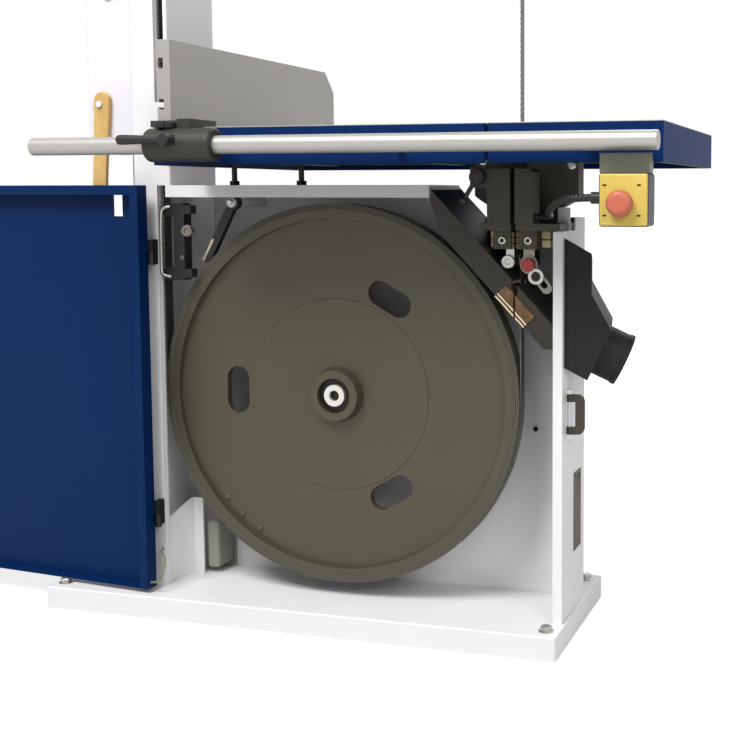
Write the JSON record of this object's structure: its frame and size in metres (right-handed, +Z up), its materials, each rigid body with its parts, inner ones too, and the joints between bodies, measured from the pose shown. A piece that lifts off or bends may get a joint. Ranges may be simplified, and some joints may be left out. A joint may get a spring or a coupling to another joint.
{
  "type": "band saw",
  "caption": "Floor-standing wood band saw with a tilting table, a fence on a round front rail, an emergency stop and its lower door swung open over the band wheel.",
  "frame": {"origin": "on the floor, under the lower wheel's axis, at the plane of the wheels' front edges", "axes": "+X to the operator's right, +Y away from the operator, +Z up"},
  "size_m": [1.7421, 0.7908, 2.282],
  "materials": {
    "body_paint": "satin light grey enamel",
    "navy_paint": "satin navy enamel",
    "wheel_iron": "machined grey iron under a clear coat",
    "dark_iron": "dark painted casting",
    "steel": "ground steel",
    "blade_steel": "spring steel",
    "aluminium": "drawn aluminium",
    "black_plastic": "moulded black plastic",
    "black_sheet": "black painted sheet",
    "rubber": "black rubber",
    "yellow_plastic": "yellow plastic",
    "red_plastic": "red plastic",
    "green_plastic": "green plastic",
    "wood": "plain oiled hardwood",
    "stick_wood": "yellow lacquered wood",
    "pad_brass": "pale guide metal",
    "motor_paint": "grey enamel",
    "panel_paint": "light grey enamel",
    "wire_green": "green and yellow insulation",
    "table_iron": "cast iron, navy enamel on the edges, ground top"
  },
  "bodies": {
    "frame": {"base_plinth": "body_paint", "column": "body_paint", "lower_cabinet": "body_paint", "upper_housing": "body_paint", "chip_guard": "black_sheet", "blade_slot_block": "wood", "dust_hood": "black_plastic", "shaft_bearing_unit": "dark_iron", "drive_belt": "rubber", "motor_housing": "motor_paint", "blade": "blade_steel", "tension_slideway": "steel", "door_hinge_pins": "steel", "control_box": "panel_paint", "push_stick": "stick_wood", "return_run_guard": "black_plastic", "trunnion_cradle": "dark_iron", "tilt_stop_screws": "dark_iron", "lower_guide_blocks": "dark_iron", "lower_guide_pads": "pad_brass", "thrust_link": "steel", "post_sleeve": "dark_iron", "estop_cable": "rubber", "earth_wire": "wire_green"},
    "lower_wheel": {"lower_wheel": "wheel_iron", "lower_tyre": "rubber", "lower_shaft": "steel", "shaft_pulley": "dark_iron"},
    "upper_wheel": {"upper_wheel": "wheel_iron", "upper_tyre": "rubber"},
    "tension_carriage": {"tension_carriage": "dark_iron"},
    "tension_handwheel": {"tension_handwheel": "dark_iron"},
    "motor_pulley": {"motor_pulley": "dark_iron"},
    "lower_door": {"lower_door": "navy_paint"},
    "upper_door": {"upper_door": "navy_paint"},
    "upper_door_knob": {"upper_door_knob": "black_plastic"},
    "door_latch": {"door_latch": "dark_iron"},
    "start_button": {"start_button": "green_plastic"},
    "stop_button": {"stop_button": "red_plastic"},
    "scraper_arm": {"scraper_arm": "dark_iron"},
    "table": {"table": "table_iron", "table_insert": "aluminium", "trunnion_segment": "dark_iron", "fence_rail": "aluminium", "estop_bracket": "aluminium", "estop_box": "yellow_plastic"},
    "estop_button": {"estop_button": "red_plastic"},
    "fence": {"fence_head": "dark_iron", "fence_plate": "aluminium"},
    "fence_lever": {"fence_lever": "dark_iron"},
    "fence_knob": {"fence_knob": "black_plastic"},
    "tilt_clamp_lever": {"tilt_clamp_lever": "dark_iron"},
    "lower_thrust_roller": {"lower_thrust_roller": "steel"},
    "guide_lock_knob": {"guide_lock_knob": "red_plastic"},
    "guide_post": {"guide_post": "steel", "upper_guide_carrier": "dark_iron", "upper_guide_pads": "pad_brass", "blade_guard": "navy_paint"},
    "upper_thrust_roller": {"upper_thrust_roller": "steel"},
    "guide_handwheel": {"guide_handwheel": "dark_iron"}
  },
  "joints": [
    {"name": "lower_wheel_spin", "type": "hinge", "parent": "frame", "child": "lower_wheel", "pos_m": [0, 0.018, 0.42], "axis": [0, 1, 0], "continuous": true},
    {"name": "tension_slide", "type": "slide", "parent": "frame", "child": "tension_carriage", "axis": [0, 0, 1], "range_m": [-0.03, 0]},
    {"name": "upper_wheel_spin", "type": "hinge", "parent": "tension_carriage", "child": "upper_wheel", "pos_m": [0, 0.018, 1.89], "axis": [0, 1, 0], "continuous": true},
    {"name": "motor_spin", "type": "hinge", "parent": "frame", "child": "motor_pulley", "pos_m": [0.195, 0.176, 0.255], "axis": [0, 1, 0], "continuous": true},
    {"name": "tension_handwheel_turn", "type": "hinge", "parent": "frame", "child": "tension_handwheel", "pos_m": [0, 0.093, 1.476], "axis": [0, 0, 1], "range_deg": [-1801, 1]},
    {"name": "guide_post_slide", "type": "slide", "parent": "frame", "child": "guide_post", "axis": [0, 0, 1], "range_m": [-0.25, 0.2]},
    {"name": "guide_handwheel_turn", "type": "hinge", "parent": "frame", "child": "guide_handwheel", "pos_m": [0.463, 0.1113, 1.553], "axis": [1, 0, 0], "range_deg": [-1043, 1303]},
    {"name": "upper_thrust_roller_spin", "type": "hinge", "parent": "guide_post", "child": "upper_thrust_roller", "pos_m": [0.3508, 0.0453, 1.207], "axis": [1, 0, 0], "continuous": true},
    {"name": "lower_thrust_roller_spin", "type": "hinge", "parent": "frame", "child": "lower_thrust_roller", "pos_m": [0.3508, 0.0453, 0.672], "axis": [1, 0, 0], "continuous": true},
    {"name": "guide_lock_knob_turn", "type": "hinge", "parent": "frame", "child": "guide_lock_knob", "pos_m": [0.3718, -0.02, 0.666], "axis": [0, 1, 0], "range_deg": [-180, 180]},
    {"name": "lower_door_hinge", "type": "hinge", "parent": "frame", "child": "lower_door", "pos_m": [-0.3378, -0.06, 0.426], "axis": [0, 0, 1], "range_deg": [0, 186], "deforming": ["earth_wire"]},
    {"name": "upper_door_hinge", "type": "hinge", "parent": "frame", "child": "upper_door", "pos_m": [-0.388, -0.06, 1.89], "axis": [0, 0, 1], "range_deg": [-175, 0]},
    {"name": "upper_door_knob_turn", "type": "hinge", "parent": "upper_door", "child": "upper_door_knob", "pos_m": [0.391, -0.06, 1.89], "axis": [0, 1, 0], "range_deg": [-90, 0]},
    {"name": "latch_swing", "type": "hinge", "parent": "frame", "child": "door_latch", "pos_m": [0.441, 0, 0.407], "axis": [0, 0, 1], "range_deg": [-75, 75]},
    {"name": "start_press", "type": "slide", "parent": "frame", "child": "start_button", "axis": [0, 1, 0], "range_m": [0, 0.004], "stiffness_N_per_m": 1000},
    {"name": "stop_press", "type": "slide", "parent": "frame", "child": "stop_button", "axis": [0, 1, 0], "range_m": [0, 0.004], "stiffness_N_per_m": 1000},
    {"name": "scraper_swing", "type": "hinge", "parent": "frame", "child": "scraper_arm", "pos_m": [-0.208, 0.016, 0.771], "axis": [0, 1, 0], "range_deg": [0, 10]},
    {"name": "table_tilt", "type": "hinge", "parent": "frame", "child": "table", "pos_m": [0.3508, 0.06, 0.9], "axis": [0, 1, 0], "range_deg": [0, 45], "deforming": ["estop_cable"]},
    {"name": "fence_slide", "type": "slide", "parent": "table", "child": "fence", "axis": [1, 0, 0], "range_m": [-0.05, 0.4]},
    {"name": "fence_lever_turn", "type": "hinge", "parent": "fence", "child": "fence_lever", "pos_m": [-0.169, -0.2773, 0.876], "axis": [0, 1, 0], "range_deg": [0, 100]},
    {"name": "fence_knob_turn", "type": "hinge", "parent": "fence", "child": "fence_knob", "pos_m": [-0.191, -0.235, 0.9], "axis": [0, 0, 1], "range_deg": [-180, 180]},
    {"name": "tilt_lever_turn", "type": "hinge", "parent": "frame", "child": "tilt_clamp_lever", "pos_m": [0.2908, -0.0513, 0.816], "axis": [0, 1, 0], "range_deg": [-30, 60]},
    {"name": "estop_press", "type": "slide", "parent": "table", "child": "estop_button", "axis": [0, 1, 0], "range_m": [0, 0.006], "stiffness_N_per_m": 1500}
  ],
  "couplings": [
    {"joint": "upper_wheel_spin", "follows": "lower_wheel_spin", "ratio": 1},
    {"joint": "motor_spin", "follows": "lower_wheel_spin", "ratio": 2},
    {"joint": "tension_handwheel_turn", "follows": "tension_slide", "rad_per_m": 1047.2},
    {"joint": "guide_handwheel_turn", "follows": "guide_post_slide", "rad_per_m": -90.909}
  ]
}
